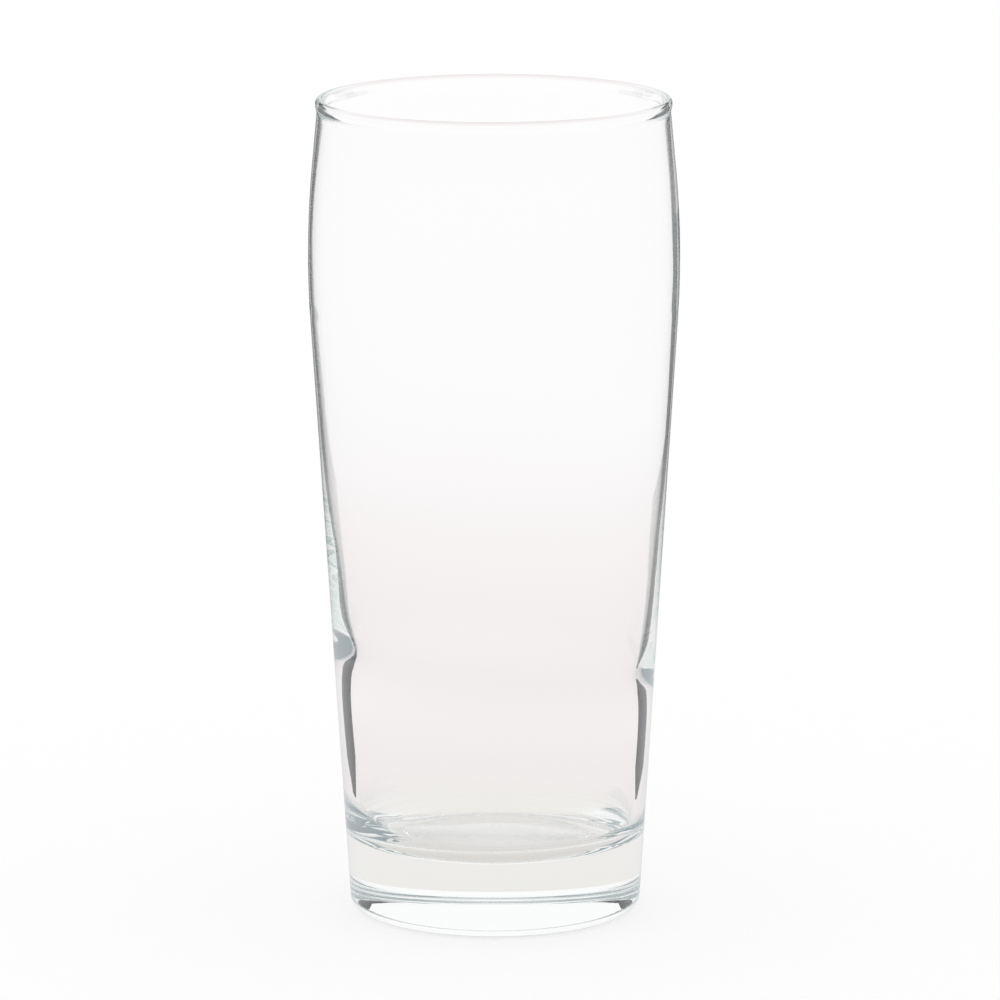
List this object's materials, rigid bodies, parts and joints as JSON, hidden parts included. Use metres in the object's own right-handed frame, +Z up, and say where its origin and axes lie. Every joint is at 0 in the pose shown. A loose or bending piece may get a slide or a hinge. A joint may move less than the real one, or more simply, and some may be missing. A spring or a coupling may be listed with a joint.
{
  "type": "beer tumbler",
  "caption": "Tall clear beer tumbler with a heavy solid foot, a conical wall that widens upwards, a shoulder drawn in to the mouth and a rounded lip.",
  "frame": {"origin": "centre of the circle that the glass stands on, on its axis", "axes": "+Z up along the axis of the glass, from the foot to the mouth; the glass is the same all round, so X and Y are free"},
  "size_m": [0.0786, 0.0786, 0.175],
  "materials": {
    "clear_glass": "clear, fire-polished soda-lime glass"
  },
  "bodies": {
    "root": {"base": "clear_glass", "body_wall": "clear_glass", "shoulder_wall": "clear_glass", "rim_bead": "clear_glass"}
  },
  "joints": []
}
